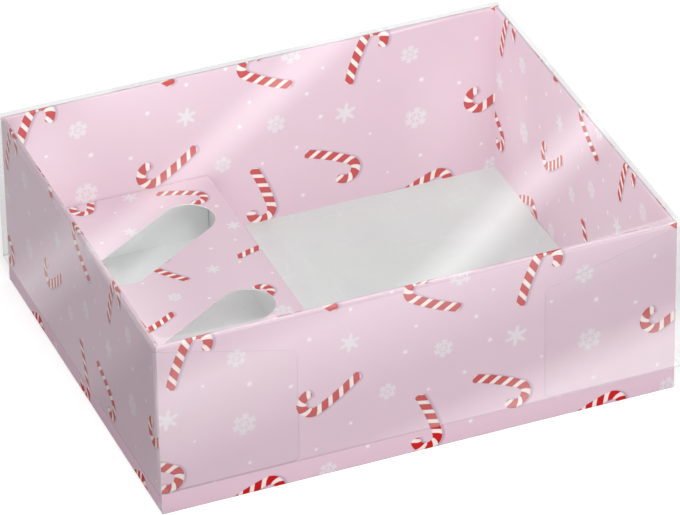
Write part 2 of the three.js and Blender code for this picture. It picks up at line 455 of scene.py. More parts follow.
# %% [markdown]
# ## Board
#
# Carton board has three faces that look different. The printed face has a satin varnish over a fine paper
# grain. The reverse is bare, grey-white and flecked with fibres. The cut edge shows the white core. Where
# the board is folded, the ink cracks finely and shows pale, and the print along the crest is darkened as
# painted shade, which holds back the light that the crest catches. So each sheet carries a number called
# fold, which is 1 along a crest.

# %% Helpers that make materials
def new_material(name):
    material = bpy.data.materials.new(name)
    material.use_nodes = True
    tree = material.node_tree
    return material, tree, tree.nodes["Principled BSDF"]


def grain(tree, scale, detail=3.0, stretch=None):
    """Noise over the solid itself, in metres, so that it doesn't depend on how a sheet is laid out."""
    place = tree.nodes.new("ShaderNodeTexCoord").outputs["Object"]
    if stretch:
        place = arrow(tree, "MULTIPLY", place, stretch)
    values = {"Vector": place, "Scale": scale, "Detail": detail}
    return new_node(tree, "TexNoise", values).outputs["Fac"]


def fold_number(tree):
    return new_node(tree, "Attribute", {}, attribute_name="fold").outputs["Fac"]


def add_fibres(tree, skin, scale, detail, rough, bump, shine):
    """Fibres spread the roughness, by (spread, least), and stand out by (strength, depth)."""
    fibres = grain(tree, scale, detail)
    relief = new_node(tree, "Bump", {"Strength": bump[0], "Distance": bump[1], "Height": fibres})
    plug(tree, skin.inputs["Normal"], relief.outputs["Normal"])
    plug(tree, skin.inputs["Roughness"], times_plus(tree, fibres, *rough))
    plug(tree, skin.inputs["Specular IOR Level"], shine)


print("material helpers ready")

# %% Board materials
PALE_CRACK = (0.86, 0.76, 0.80, 1)
CRACK_SCALE = 900.0
CRACK_RANGE = (0.38, 0.62)
CRACK_COVER = 0.08
FOLD_COVER = 0.02
# Painted shade: how much the print darkens along a crest.
FOLD_PAINTED_SHADE = 0.2
PRINT_FACE = {
    "scale": 1400.0, "detail": 4.0, "rough": (0.16, 0.40), "bump": (0.04, 0.04 * MM), "shine": 0.15,
}
REVERSE_GREY = (0.611, 0.630, 0.623, 1)
REVERSE_PALE = (0.693, 0.712, 0.705, 1)
REVERSE_FACE = {
    "scale": 1100.0, "detail": 5.0, "rough": (0.2, 0.68), "bump": (0.08, 0.08 * MM), "shine": 0.25,
}
CLOUD_SCALE = 60.0
CLOUD_DETAIL = 5.0
CLOUD_SHARE = 0.7
FLECK_SCALE = 700.0
FLECK_DETAIL = 2.0
FLECK_STRETCH = 0.18
FLECK_RANGE = (0.62, 0.72)
FLECK_SHARE = 0.5
CORE_WHITE = (0.86, 0.83, 0.82, 1)
CORE_SHADE = (0.70, 0.66, 0.66, 1)
CORE_SCALE = 390.0
CORE_ROUGH = (0.1, 0.8)
CORE_SHINE = 0.2


def printed_board(name, ink):
    material, tree, skin = new_material(name)
    place = new_node(tree, "UVMap", {}, uv_map="print").outputs["UV"]
    colour = use_group(tree, ink, Place=place)["Color"]
    fold = fold_number(tree)
    cracks = soft_step(tree, grain(tree, CRACK_SCALE), *CRACK_RANGE)
    worn = times(tree, fold, times_plus(tree, cracks, CRACK_COVER, FOLD_COVER))
    colour = choose(tree, worn, colour, PALE_CRACK, "RGBA")
    # Painted shade along the creases: the colour darkens where the fold number is high.
    plug(tree, skin.inputs["Base Color"], scaled(tree, colour, lessened(tree, fold, FOLD_PAINTED_SHADE)))
    add_fibres(tree, skin, **PRINT_FACE)
    return material


def bare_board():
    material, tree, skin = new_material("bare_board")
    pale = 0.0
    for stretch in ((1.0, FLECK_STRETCH, 1.0), (FLECK_STRETCH, 1.0, 1.0)):
        flecks = soft_step(tree, grain(tree, FLECK_SCALE, FLECK_DETAIL, stretch), *FLECK_RANGE)
        pale = larger(tree, pale, times(tree, flecks, FLECK_SHARE))
    pale = times_plus(tree, grain(tree, CLOUD_SCALE, CLOUD_DETAIL), CLOUD_SHARE, pale)
    plug(tree, skin.inputs["Base Color"], choose(tree, pale, REVERSE_GREY, REVERSE_PALE, "RGBA"))
    add_fibres(tree, skin, **REVERSE_FACE)
    return material


def cut_edge():
    material, tree, skin = new_material("cut_edge")
    layers = grain(tree, CORE_SCALE)
    plug(tree, skin.inputs["Base Color"], choose(tree, layers, CORE_SHADE, CORE_WHITE, "RGBA"))
    plug(tree, skin.inputs["Roughness"], times_plus(tree, layers, *CORE_ROUGH))
    plug(tree, skin.inputs["Specular IOR Level"], CORE_SHINE)
    return material


wall_board = printed_board("wall_board", wall_print)
deck_board = printed_board("deck_board", deck_print)
reverse_board = bare_board()
core_board = cut_edge()
WALL_FACES = [wall_board, reverse_board, core_board]
print("board has", [m.name for m in WALL_FACES], "and", deck_board.name)

# %% [markdown]
# ## Sheets
#
# A sheet is drawn as the face that shows: rows of points with a place on the print and a fold number. For
# thin film that is enough. Board gets its thickness from Solidify, which also puts other materials on the
# reverse and the cut edges. It is applied at once, so that the sharp edges can be marked.

# %% Helpers that make sheets
SHARP = radians(35)
WELD = 0.001 * MM
QUARTER = pi / 2


def new_sheet():
    sheet = bmesh.new()
    sheet.loops.layers.uv.new("print")
    sheet.verts.layers.float.new("fold")
    return sheet


def add_rows(sheet, rows):
    """rows hold (point, place on the print in mm, fold) and are joined by faces."""
    uv = sheet.loops.layers.uv["print"]
    fold = sheet.verts.layers.float["fold"]
    made = []
    for row in rows:
        line = []
        for point, place, bend in row:
            vert = sheet.verts.new(point)
            vert[fold] = bend
            line.append((vert, place))
        made.append(line)
    for low, high in zip(made, made[1:]):
        for i in range(len(low) - 1):
            corners = (low[i], low[i + 1], high[i + 1], high[i])
            face = sheet.faces.new([vert for vert, _ in corners])
            for loop, (_, place) in zip(face.loops, corners):
                loop[uv].uv = place


def add_outline(sheet, loops, height, place):
    """A flat face with holes, from closed loops of (x, y) points at one height, print side up."""
    uv = sheet.loops.layers.uv["print"]
    edges = []
    for points in loops:
        verts = [sheet.verts.new((x, y, height)) for x, y in points]
        edges += [sheet.edges.new((a, b)) for a, b in zip(verts, verts[1:] + verts[:1])]
    filled = bmesh.ops.triangle_fill(sheet, edges=edges, use_beauty=True, normal=(0, 0, 1))
    for face in filled["geom"]:
        if isinstance(face, bmesh.types.BMFace):
            for loop in face.loops:
                loop[uv].uv = place(loop.vert.co)


def make_piece(sheet, name, materials):
    bmesh.ops.remove_doubles(sheet, verts=sheet.verts, dist=WELD)
    mesh = bpy.data.meshes.new(name)
    sheet.to_mesh(mesh)
    sheet.free()
    piece = bpy.data.objects.new(name, mesh)
    bpy.context.collection.objects.link(piece)
    for material in materials:
        mesh.materials.append(material)
    mesh.shade_smooth()
    return piece


def make_board(sheet, name, thickness, materials):
    piece = make_piece(sheet, name, materials)
    mesh = piece.data
    solid = piece.modifiers.new("thickness", "SOLIDIFY")
    solid.thickness = thickness
    solid.offset = -1
    solid.use_even_offset = True
    solid.material_offset = 1
    solid.material_offset_rim = 2
    bpy.context.view_layer.update()
    thick = bpy.data.meshes.new_from_object(piece.evaluated_get(bpy.context.evaluated_depsgraph_get()))
    piece.modifiers.clear()
    piece.data = thick
    bpy.data.meshes.remove(mesh)
    thick.name = name
    thick.shade_smooth()
    thick.set_sharp_from_angle(angle=SHARP)
    return piece


def spaced(start, end, count):
    return [start + (end - start) * i / count for i in range(count + 1)]


print("sheet helpers ready")

# %% [markdown]
# ## Tray walls
#
# Each wall is one strip of board that climbs the outside, rolls over at the rim and comes down inside as the
# lining. Its lugs go through notches in the floor, which keeps the strip rolled. A box primitive would show
# two flat plates, so the strip is drawn as one path with round folds, and the long faces bow a little. It is
# a trace thinner than the solids, so that strips that touch don't share a face. The short walls squeeze the
# print to their length, and some faces shift it by millimetres.

# %% Sizes of the tray, from the frame
wall_low, wall_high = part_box("front_wall")
rim_low, rim_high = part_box("front_rim")
BOARD = wall_high.y - wall_low.y
SHEET = BOARD * 0.94
WALL = rim_high.y - rim_low.y
WALL_TOP = wall_high.z
HALF_WIDTH = wall_high.x
HALF_DEPTH = -wall_low.y
FOLD_RADIUS = BOARD * 1.2
FOOT_FOLD = 0.5
LUG_WIDTH = 14 * MM
LUG_INSET = 45 * MM
LUG_ROOM = 0.3 * MM
BOW = 0.22 * MM
FOOT_STEPS = 5
FACE_ROWS = 14
RIM_STEPS = 8
WALL_COLUMNS = 24
NO_SHIFT = (0, 0)
OUTER_SHIFT = {"left": (0.3, -0.7)}
LINING_SHIFT = {"back": (-0.4, 0.3), "right": (3.8, 1.8)}
SIDES = {"front": 0, "right": 90, "back": 180, "left": -90}
print("tray is", round(2 * HALF_WIDTH / MM), "mm wide, board", round(BOARD / MM, 2))


# %% Path of a rolled wall
def wall_sizes(name):
    """Reach from the middle, and half lengths of the outside, the rim and the lining."""
    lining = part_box(name + "_lining")
    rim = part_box(name + "_rim")
    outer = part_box(name + "_wall")
    if name in ("front", "back"):
        return HALF_DEPTH, outer[1].x, rim[1].x, lining[1].x
    return HALF_WIDTH, outer[1].y, rim[1].y, lining[1].y


def half_along(reach):
    """Half the tray's size along a wall with this reach."""
    return HALF_WIDTH if reach == HALF_DEPTH else HALF_DEPTH


def wall_profile(reach):
    """(y, z, height on the print, inside, fold) along the strip, from its outer foot to the lining's foot."""
    path = []
    for turn in spaced(0, QUARTER, FOOT_STEPS):
        y = FOLD_RADIUS * (1 - sin(turn)) - reach
        z = FOLD_RADIUS * (1 - cos(turn))
        path.append((y, z, z, False, sin(2 * turn) * FOOT_FOLD))
    path += [(-reach, z, z, False, 0) for z in spaced(FOLD_RADIUS, WALL_TOP, FACE_ROWS)[1:]]
    for inside in (False, True):
        for turn in spaced(0, QUARTER, RIM_STEPS)[0 if inside else 1:]:
            lean = turn if inside else turn - QUARTER
            y = WALL / 2 * sin(lean) + WALL / 2 - reach
            z = WALL_TOP + WALL / 2 * cos(lean)
            printed = WALL_TOP + WALL / 2 * (QUARTER - abs(lean))
            path.append((y, z, printed, inside, cos(lean) ** 2))
    path += [(WALL - reach, z, z, True, 0) for z in spaced(WALL_TOP, BOARD, FACE_ROWS)[1:]]
    return path


print("a wall's path has", len(wall_profile(HALF_DEPTH)), "points")


# %% Rolled walls
def bowed(share_along, z):
    return BOW * cos(share_along * QUARTER) * sin(pi * min(max(z / WALL_TOP, 0), 1))


def wall_rows(profile, inside, columns, sizes, squeeze, shift):
    reach, outer_half, rim_half, lining_half = sizes
    hand = 1 if inside else -1
    rows = []
    for y, z, printed, is_inside, fold in profile:
        if is_inside != inside:
            continue
        half = rim_half if z > WALL_TOP - WELD else (lining_half if inside else outer_half)
        row = []
        for share in columns:
            x = share * half
            u = (half_along(reach) - hand * x) / MM - shift[0]
            place = (u / squeeze, printed / MM - shift[1])
            row.append((Vector((x, y + hand * bowed(share, z), z)), place, fold))
        rows.append(row)
    return rows


def lug_rows(middle, reach, squeeze):
    def corner(x, z):
        return Vector((x, WALL - reach, z)), ((half_along(reach) - x) / squeeze / MM, z / MM), 0

    ends = (middle - LUG_WIDTH / 2, middle + LUG_WIDTH / 2)
    return [[corner(x, z) for x in ends] for z in (BOARD, 0)]


def rolled_wall(name, turn):
    sizes = wall_sizes(name)
    reach, _, _, lining_half = sizes
    squeeze = half_along(reach) / HALF_WIDTH
    lug = lining_half - LUG_INSET
    edges = {side * (lug + step * LUG_WIDTH / 2) / lining_half for side in (-1, 1) for step in (-1, 1)}
    columns = sorted(edges | set(spaced(-1, 1, WALL_COLUMNS)))
    profile = wall_profile(reach)
    sheet = new_sheet()
    for inside, shifts in ((False, OUTER_SHIFT), (True, LINING_SHIFT)):
        shift = shifts.get(name, NO_SHIFT)
        add_rows(sheet, wall_rows(profile, inside, columns, sizes, squeeze, shift))
    for side in (-1, 1):
        add_rows(sheet, lug_rows(side * lug, reach, squeeze))
    sheet.transform(Matrix.Rotation(radians(turn), 4, "Z"))
    return make_board(sheet, name + "_side", SHEET, WALL_FACES)


for name, turn in SIDES.items():
    piece = rolled_wall(name, turn)
    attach(piece, "tray")
    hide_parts(name + "_wall", name + "_rim", name + "_lining")
    print(piece.name, "has", len(piece.data.polygons), "faces")

# %% [markdown]
# ## Tray floor and corner tabs
#
# The floor shows the bare reverse of the board, because the sheet is printed on one side only, and the print
# is underneath. Its edge has a notch round each lug. The corner tabs are shut in between the walls and their
# linings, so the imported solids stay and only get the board's materials.

# %% Floor
def floor_outline():
    loop = []
    for name, turn in SIDES.items():
        reach, _, _, lining_half = wall_sizes(name)
        edge, notch = FOLD_RADIUS - reach, WALL + LUG_ROOM - reach
        lug, gap = lining_half - LUG_INSET, LUG_WIDTH / 2 + LUG_ROOM
        points = [(FOLD_RADIUS - half_along(reach), edge)]
        for start, end in ((-lug - gap, -lug + gap), (lug - gap, lug + gap)):
            points += [(start, edge), (start, notch), (end, notch), (end, edge)]
        spin = Matrix.Rotation(radians(turn), 2)
        loop += [tuple(spin @ Vector(p)) for p in points]
    return loop


sheet = new_sheet()
add_outline(sheet, [floor_outline()], BOARD, lambda p: (p.x / MM, p.y / MM))
floor_piece = make_board(sheet, "floor_panel", BOARD, [reverse_board, wall_board, core_board])
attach(floor_piece, "tray")
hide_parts("tray_floor")
for name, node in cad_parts.items():
    if name.endswith("corner_tab"):
        node.data.materials.clear()
        node.data.materials.append(reverse_board)
print("floor has", len(floor_piece.data.polygons), "faces")

# %% [markdown]
# ## Insert
#
# The insert is a table of printed board: a deck with two round-ended slots, and legs creased down at the
# left, the right and the back. The slots are cut with a steel rule, so their edges are clean and show the
# core. A Boolean could cut them, but an outline with two holes fills in one step and stays tidy. The round
# creases belong to the deck, because the legs are pieces of their own.

# %% Deck with its slots
deck_low, deck_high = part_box("insert_deck")
SLOT_COUNT = 2
SLOT_WIDTH = 22.7 * MM
SLOT_TURN = radians(32.8)
SLOT_LEFT = 17.9 * MM
SLOT_RIGHT = 8.4 * MM
SLOT_BACK = 16.6 * MM
SLOT_PITCH = 67.8 * MM
SLOT_STEPS = 24
CREASE_STEPS = 6
CREASE_FOLD = 0.6


def slot_loop(x, y, half_span):
    points = []
    for end in (1, -1):
        cx = x + end * half_span * cos(SLOT_TURN)
        cy = y + end * half_span * sin(SLOT_TURN)
        for turn in spaced(-QUARTER, QUARTER, SLOT_STEPS):
            angle = SLOT_TURN + turn + (0 if end > 0 else pi)
            points.append((cx + SLOT_WIDTH / 2 * cos(angle), cy + SLOT_WIDTH / 2 * sin(angle)))
    return points


def deck_place(point):
    return ((point.x + HALF_WIDTH) / MM, (point.y + HALF_DEPTH) / MM)


def deck_crease(sheet, axis, hand, ends):
    """The quarter round where the deck turns down into a leg. axis is 0 for an edge across X, 1 across Y."""
    edge = (deck_high if hand > 0 else deck_low)[axis]
    rows = []
    for turn in spaced(0, QUARTER, CREASE_STEPS):
        row = []
        for end in ends:
            point = Vector((end, end, deck_high.z - BOARD * (1 - cos(turn))))
            point[axis] = edge - hand * BOARD * (1 - sin(turn))
            row.append((point, deck_place(point), sin(turn) ** 2 * CREASE_FOLD))
        rows.append(row)
    add_rows(sheet, rows[::-1] if (axis == 0) == (hand > 0) else rows)


run = deck_high.x - deck_low.x - SLOT_LEFT - SLOT_RIGHT - SLOT_WIDTH
half_span = run / cos(SLOT_TURN) / 2
slot_x = (deck_low.x + SLOT_LEFT + deck_high.x - SLOT_RIGHT) / 2
slot_y = deck_high.y - SLOT_BACK - SLOT_WIDTH / 2 - half_span * sin(SLOT_TURN)
left, right, back = deck_low.x + BOARD, deck_high.x - BOARD, deck_high.y - BOARD
outline = [(left, deck_low.y), (right, deck_low.y), (right, back), (left, back)]
slots = [slot_loop(slot_x, slot_y - i * SLOT_PITCH, half_span) for i in range(SLOT_COUNT)]
sheet = new_sheet()
add_outline(sheet, [outline] + slots, deck_high.z, deck_place)
deck_crease(sheet, 0, -1, (deck_low.y, back))
deck_crease(sheet, 0, 1, (deck_low.y, back))
deck_crease(sheet, 1, 1, (left, right))
deck = make_board(sheet, "deck", SHEET, [deck_board, reverse_board, core_board])
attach(deck, "insert")
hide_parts("insert_deck")
print("deck has", len(deck.data.polygons), "faces and", len(slots), "slots")

# %% [markdown]
# ## Legs
#
# A leg is a flap that hangs from the deck's crease and stands on the floor. It folds, so it is a piece on a
# body of its own. The left and the back leg are slanted where they meet, to pass each other. A leg is given
# by the axis it faces along, its side on that axis and the slants of its ends, and rows of points draw it. It
# reaches a trace lower than its solid, down to the floor.

# %% Legs
LEGS = {"left": (0, -1, (0, 1)), "right": (0, 1, (0, 0)), "back": (1, 1, (1, 0))}
LEG_DROP = 0.28 * MM
LEG_BOW = 0.04 * MM
LEG_ROWS = 6
LEG_COLUMNS = 12
LEG_FOLD = 0.4
LEG_FOLD_RISE = 12


def leg_rows(low, high, axis, hand, slants):
    """Rows up a leg. The slants are how much it loses at each end, per depth under the deck."""
    along = 1 - axis
    rows = []
    for z in spaced(low.z - LEG_DROP, high.z, LEG_ROWS):
        deep = high.z - z
        rise = 1 - deep / (high.z - low.z)
        start, end = low[along] + slants[0] * deep, high[along] - slants[1] * deep
        row = []
        for share in spaced(0, 1, LEG_COLUMNS):
            point = Vector((0, 0, z))
            point[along] = start + (end - start) * share
            bow = LEG_BOW * sin(share * pi) * sin(rise * pi)
            point[axis] = high[axis] - bow if hand > 0 else low[axis] + bow
            row.append((point, (point[along] / MM, z / MM), LEG_FOLD * rise ** LEG_FOLD_RISE))
        rows.append(row)
    return rows if (axis == 0) == (hand > 0) else rows[::-1]


for name, (axis, hand, slants) in LEGS.items():
    node = f"insert_{name}_leg"
    sheet = new_sheet()
    add_rows(sheet, leg_rows(*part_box(node), axis, hand, slants))
    piece = make_board(sheet, f"{name}_leg", SHEET, WALL_FACES)
    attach(piece, f"{name}_leg")
    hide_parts(node)
    print(piece.name, "has", len(piece.data.polygons), "faces")

# %% [markdown]
# ## Film
#
# Clear film hardly tints what is behind it, but it mirrors the room, more at a low angle. A glass shader
# would keep lamps out of the box, so the film is a mix of a Transparent and a Glossy shader, with the
# mirror's share from the facing angle. The share is less at a crease and seen from inside, and a tab that
# lies against the front hardly mirrors. Creased film turns milky. The cut edges carry painted shade, a thin
# dark grey line, and the foot a painted shadow of the film on the board: there the fold number is below zero.

# %% Film materials
FILM_TINT = (0.98, 0.98, 0.982, 1)
FILM_MIRROR = 0.2
TAB_TINT = (0.975, 0.975, 0.975, 1)
TAB_MIRROR = 0.03
MIRROR_RISE = 8.0
MIRROR_ROUGH = 0.04
CREASE_LESS = 0.6
INSIDE_LESS = 0.4
FILM_MILK = (0.90, 0.90, 0.91, 1)
# Painted shade for the film's cut edges.
EDGE_SHADE_GREY = (0.12, 0.06, 0.08, 1)
MILK_AND_SHADE_SHARE = 0.12
FILM_HAZE = 0.006
FILM_SCUFF = 0.02
SCUFF_SCALE = 45.0
SCUFF_DETAIL = 6.0
SCUFF_STRETCH = (1.0, 0.5, 1.0)
SCUFF_RANGE = (0.45, 0.8)


def empty_material(name):
    """A material without a shader, and the socket that its shader goes into."""
    material, tree, skin = new_material(name)
    tree.nodes.remove(skin)
    return material, tree, tree.nodes["Material Output"].inputs["Surface"]


def shader(tree, kind, **values):
    return new_node(tree, kind, values).outputs[0]


def mixed(tree, share, first, second):
    """The first shader where share is 0, the second where it is 1."""
    return new_node(tree, "MixShader", {0: share, 1: first, 2: second}).outputs[0]


def film_material(name, tint, least_mirror):
    material, tree, surface = empty_material(name)
    facing = tree.nodes.new("ShaderNodeLayerWeight").outputs["Facing"]
    steep = number(tree, "POWER", facing, MIRROR_RISE)
    share = times_plus(tree, steep, 1 - least_mirror, least_mirror)
    fold = fold_number(tree)
    crease = larger(tree, fold, 0.0)
    inside = tree.nodes.new("ShaderNodeNewGeometry").outputs["Backfacing"]
    for loss, value in ((CREASE_LESS, crease), (INSIDE_LESS, inside)):
        share = times(tree, share, lessened(tree, value, loss))
    clear = shader(tree, "BsdfTransparent", Color=tint)
    mirror = shader(tree, "BsdfGlossy", Roughness=MIRROR_ROUGH)
    is_edge = number(tree, "LESS_THAN", fold, 0.0)
    # A cut edge gets painted shade in dark grey; a crease gets real milky haze.
    milk_or_shade = shader(tree, "BsdfDiffuse", Color=choose(tree, is_edge, FILM_MILK, EDGE_SHADE_GREY, "RGBA"))
    scuffs = soft_step(tree, grain(tree, SCUFF_SCALE, SCUFF_DETAIL, SCUFF_STRETCH), *SCUFF_RANGE)
    haze_and_shade = times_plus(tree, scuffs, FILM_SCUFF, FILM_HAZE)
    haze_and_shade = times_plus(tree, number(tree, "ABSOLUTE", fold), MILK_AND_SHADE_SHARE, haze_and_shade)
    plug(tree, surface, mixed(tree, haze_and_shade, mixed(tree, share, clear, mirror), milk_or_shade))
    return material


clear_film = film_material("clear_film", FILM_TINT, FILM_MIRROR)
tab_film = film_material("tab_film", TAB_TINT, TAB_MIRROR)
print("film has", len(clear_film.node_tree.nodes), "nodes")

# %% [markdown]
# ## Lid
#
# The lid is one sheet: a top, four sides creased down from it, and a tapered tab at each end of the left and
# right sides, turned in behind the front or the back. All of it is drawn as one skin with round creases, so
# that a highlight runs along each fold. At the corners of the top the die leaves a small open notch, and the
# top sags a little.

# %% Sizes of the lid, from the frame
LID_X, LID_Y, LID_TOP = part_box("lid_top")[1]
LID_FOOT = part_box("lid_front")[0].z
tab_low, tab_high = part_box("lid_front_left_tab")
TAB_FALL = 15 * MM
TAB_ROUND = 3 * MM
CORNER = 0.2 * MM
CREASE = LID_Y + tab_low.y + CORNER
SAG = 0.12 * MM
NOTCH = 1.2 * MM
# The film's cut edges carry painted shade, and its foot carries a painted shadow of the film on the board.
EDGE_WIDTH = 0.4 * MM
EDGE_SHADE = 1.7
FOOT_WIDTH = 1.0 * MM
FOOT_AND_END_SHADE = 2.0
print("lid is", round(2 * LID_X / MM, 1), "mm wide, crease", round(CREASE / MM, 2))


# %% Top of the lid, front and back
TOP_COLUMNS = 28
TOP_ROWS = 24
SIDE_ROWS = 11
TOP_XS = spaced(CREASE - LID_X, LID_X - CREASE, TOP_COLUMNS)
TOP_YS = spaced(CREASE - LID_Y, LID_Y - CREASE, TOP_ROWS)


def top_point(x, y):
    dip = SAG * cos(x / LID_X * QUARTER) * cos(y / LID_Y * QUARTER)
    return Vector((x, y, LID_TOP - dip)), (x / MM, y / MM), 0


def side_point(x, y, z, fold):
    return Vector((x, y, z)), (x / MM, z / MM), fold


def crease_rows(places, out):
    """Rows up a quarter round to the edge of the top, in the frame of the front."""
    rows = []
    for turn in spaced(QUARTER, 0, CREASE_STEPS):
        y = CREASE * (1 - sin(turn)) - out
        z = LID_TOP - CREASE * (1 - cos(turn))
        rows.append([side_point(x, y, z, sin(2 * turn)) for x in places])
    return rows


def plain_side_rows():
    """The front or the back, which reaches a little past its crease at both ends."""
    places = [-LID_X, EDGE_WIDTH - LID_X] + TOP_XS[2:-2] + [LID_X - EDGE_WIDTH, LID_X]
    rows = []
    for z in [LID_FOOT] + spaced(LID_FOOT + FOOT_WIDTH, LID_TOP - CREASE - NOTCH, SIDE_ROWS):
        # Painted shade along the foot and the ends of the front; at the foot it stands for the film's shadow.
        folds = [-FOOT_AND_END_SHADE if z == LID_FOOT or abs(x) == LID_X else 0 for x in places]
        rows.append([side_point(x, -LID_Y, z, fold) for x, fold in zip(places, folds)])
    return rows + crease_rows(TOP_XS, LID_Y)


print("top of the lid has", len(TOP_XS), "by", len(TOP_YS), "points")

# %% [markdown]
# ## Tabs of the lid
#
# A tab is cut with a rounded free end and an upper edge that falls towards it. Columns of points follow that
# outline, close together at the round, which is neater than cutting a flat sheet. In the photograph a tab
# reaches 2 mm further than its solid, so it is drawn that much longer.

# %% Sides with tabs
TAB_MORE = 2 * MM
TAB_LENGTH = tab_high.x - tab_low.x + TAB_MORE
TAB_FACE = -tab_low.y
ROUND_SHARES = (0, 0.05, 0.13, 0.27, 0.47, 0.73, 1)
FLAT_START = 8 * MM
FLAT_COLUMNS = 8
CORNER_ROOM = 1 * MM
CORNER_STEPS = 5
CORNER_FOLD = 0.7
WING_ROWS = 10


def tab_columns():
    """(along, out, low, high, fold) from a tab's free end, with its rounded corners, to the side."""
    places = [TAB_ROUND * share for share in ROUND_SHARES]
    places += spaced(FLAT_START, TAB_LENGTH - CORNER_ROOM, FLAT_COLUMNS)
    columns = []
    for from_end in places:
        short = max(TAB_ROUND - from_end, 0)
        inset = TAB_ROUND - sqrt(TAB_ROUND ** 2 - short ** 2)
        high = tab_high.z - TAB_FALL * (1 - from_end / TAB_LENGTH)
        out = -tab_low.x - TAB_LENGTH + from_end
        # Painted shade along the tab's rounded free end.
        fold = -EDGE_SHADE * max(1 - from_end / EDGE_WIDTH, 0)
        columns.append((TAB_FACE, out, LID_FOOT + inset, high - inset, fold))
    for turn in spaced(0, QUARTER, CORNER_STEPS)[:-1]:
        along = TAB_FACE - CORNER * (1 - cos(turn))
        out = LID_X - CORNER * (1 - sin(turn))
        columns.append((along, out, LID_FOOT, tab_high.z, sin(2 * turn) * CORNER_FOLD))
    return columns


def wing_rows():
    """The left or the right side with its two tabs, in the frame where it faces -Y."""
    tab = tab_columns()
    columns = [(-along, *rest) for along, *rest in tab]
    columns += [(y, LID_X, LID_FOOT, LID_TOP - CREASE, 0) for y in TOP_YS]
    columns += tab[::-1]
    last = WING_ROWS + 2
    rows = []
    for step in range(last + 1):
        row = []
        for along, out, low, high, fold in columns:
            z = ([low] + spaced(low + FOOT_WIDTH, high - EDGE_WIDTH, WING_ROWS) + [high])[step]
            # Painted shade along a tab's upper edge, and a painted shadow along the foot.
            if step == last and high < LID_TOP - CREASE:
                fold = -EDGE_SHADE
            elif step == 0:
                fold = -FOOT_AND_END_SHADE
            row.append(side_point(along, -out, z, fold))
        rows.append(row)
    return rows


print("a side with its tabs has", len(wing_rows()[0]), "columns")

# %% [markdown]
# ## Lid put together
#
# The sides are drawn facing forward, turned to their places and welded to the top. Faces that lie in a tab's
# plane get the tab's film. Real film lets light through almost unhindered, so the lid casts no shadow and
# diffuse light passes it.

# %% Lid as one skin
TAB_PLANE = 0.01 * MM
sheet = new_sheet()
add_rows(sheet, [[top_point(x, y) for x in TOP_XS] for y in TOP_YS])
for name, turn in SIDES.items():
    part = new_sheet()
    if name in ("front", "back"):
        add_rows(part, plain_side_rows())
    else:
        add_rows(part, wing_rows())
        add_rows(part, crease_rows(TOP_YS, LID_X))
    part.transform(Matrix.Rotation(radians(turn), 4, "Z"))
    mesh = bpy.data.meshes.new("part")
    part.to_mesh(mesh)
    part.free()
    sheet.from_mesh(mesh)
    bpy.data.meshes.remove(mesh)
lid = make_piece(sheet, "lid_sheet", [clear_film, tab_film])
for face in lid.data.polygons:
    if abs(abs(face.center.y) - TAB_FACE) < TAB_PLANE:
        face.material_index = 1
lid.visible_shadow = False
lid.visible_diffuse = False
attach(lid, "lid")
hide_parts(*[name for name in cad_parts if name.startswith("lid_")])
print("lid has", len(lid.data.polygons), "faces")

# %% [markdown]
# ## Studio
#
# A pale floor runs out of the picture. The camera and the mirrors see it lifted to white, and it still keeps
# the soft shadow. They also see the room as white, while it lights the box at a plain level. A brighter lamp
# would whiten the floor too, but it would bleach the box.

# %% Floor and room of the studio
FLOOR_SIZE = 12.0
FLOOR_DROP = 0.02 * MM
FLOOR_PAINT = (0.55, 0.55, 0.55, 1)
FLOOR_LIFT = 0.62
ROOM_LIGHT = 0.2175
SQUARE = ((-1, -1), (1, -1), (1, 1), (-1, 1))


def is_seen(tree):
    """1 for the camera's own rays and for those that mirrors and glass pass on."""
    path = new_node(tree, "LightPath", {}).outputs
    mirrors = larger(tree, path["Is Glossy Ray"], path["Is Transmission Ray"])
    return larger(tree, path["Is Camera Ray"], mirrors)


def floor_material():
    material, tree, surface = empty_material("studio_floor")
    paint = shader(tree, "BsdfDiffuse", Color=FLOOR_PAINT)
    lift = shader(tree, "Emission", Strength=times(tree, is_seen(tree), FLOOR_LIFT))
    plug(tree, surface, new_node(tree, "AddShader", {0: paint, 1: lift}).outputs[0])
    return material


def stage_sheet(name, corners, material):
    mesh = bpy.data.meshes.new(name)
    mesh.from_pydata(corners, [], [(0, 1, 2, 3)])
    mesh.materials.append(material)
    item = bpy.data.objects.new(name, mesh)
    bpy.context.collection.objects.link(item)
    return item


corners = [(x * FLOOR_SIZE / 2, y * FLOOR_SIZE / 2, -FLOOR_DROP) for x, y in SQUARE]
stage_sheet("studio_floor", corners, floor_material())

world = bpy.data.worlds.new("room")
bpy.context.scene.world = world
world.use_nodes = True
tree = world.node_tree
plug(tree, tree.nodes["Background"].inputs["Color"], (1, 1, 1, 1))
plug(tree, tree.nodes["Background"].inputs["Strength"], choose(tree, is_seen(tree), ROOM_LIGHT, 1.0))
print("studio floor", FLOOR_SIZE, "m wide, room light", ROOM_LIGHT)

# %% [markdown]
# ## Lamps
#
# Two large soft lamps stand in front and at the left, and a low one behind at the right lights the far sides.
# A deep box is dark inside, and its pink walls tint what light there is. So small lamps stand over it and
# within it, where the camera and the mirrors can't see them, and cool or warm ones even out the tint. Each
# has a place, an aim and a size in millimetres, a power in watts and a colour.

